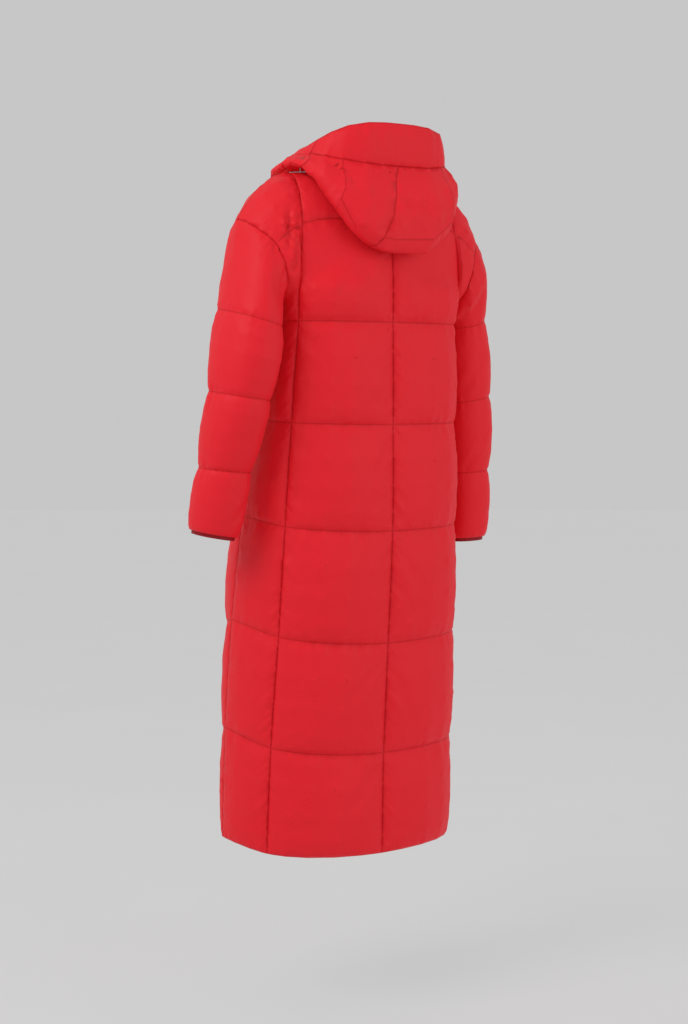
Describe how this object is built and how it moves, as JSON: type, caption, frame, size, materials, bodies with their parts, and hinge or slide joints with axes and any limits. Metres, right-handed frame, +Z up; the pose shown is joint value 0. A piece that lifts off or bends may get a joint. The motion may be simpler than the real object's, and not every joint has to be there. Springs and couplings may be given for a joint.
{
  "type": "long puffer coat",
  "caption": "Ankle-length padded coat with box quilting, princess seams, a folded-down hood and a closed front zip, hollow as worn with the arms hanging.",
  "frame": {"origin": "between the shoulders, where the wearer's shoulders carry the coat", "axes": "+Z up, -Y the wearer's front, +Y the back, +X the wearer's left"},
  "size_m": [0.6626, 0.3656, 1.287],
  "materials": {
    "shell": "satin",
    "lining": "satin",
    "zip_tape": "matte",
    "zip_coil": "satin",
    "zip_metal": "satin"
  },
  "bodies": {
    "coat": {"back_left": "shell", "back_right": "shell", "side_back_left": "shell", "side_back_right": "shell", "front_left": "shell", "front_right": "shell", "sleeve_left": "shell", "sleeve_right": "shell", "cuff_left": "lining", "cuff_right": "lining", "hood_centre_left": "shell", "hood_centre_right": "shell", "hood_side_left": "shell", "hood_side_right": "shell", "hood_band_left": "shell", "hood_band_back": "shell", "hood_band_right": "shell", "zip_tape_left": "zip_tape", "zip_tape_right": "zip_tape", "zip_coil": "zip_coil", "zip_box": "zip_metal", "zip_slider": "zip_metal"},
    "pull_tab": {"zip_pull_tab": "zip_metal"}
  },
  "joints": [
    {"name": "pull_tab_hinge", "type": "hinge", "parent": "coat", "child": "pull_tab", "pos_m": [0, -0.1175, 0.015], "axis": [-1, 0, 0], "range_deg": [0, 150]}
  ]
}
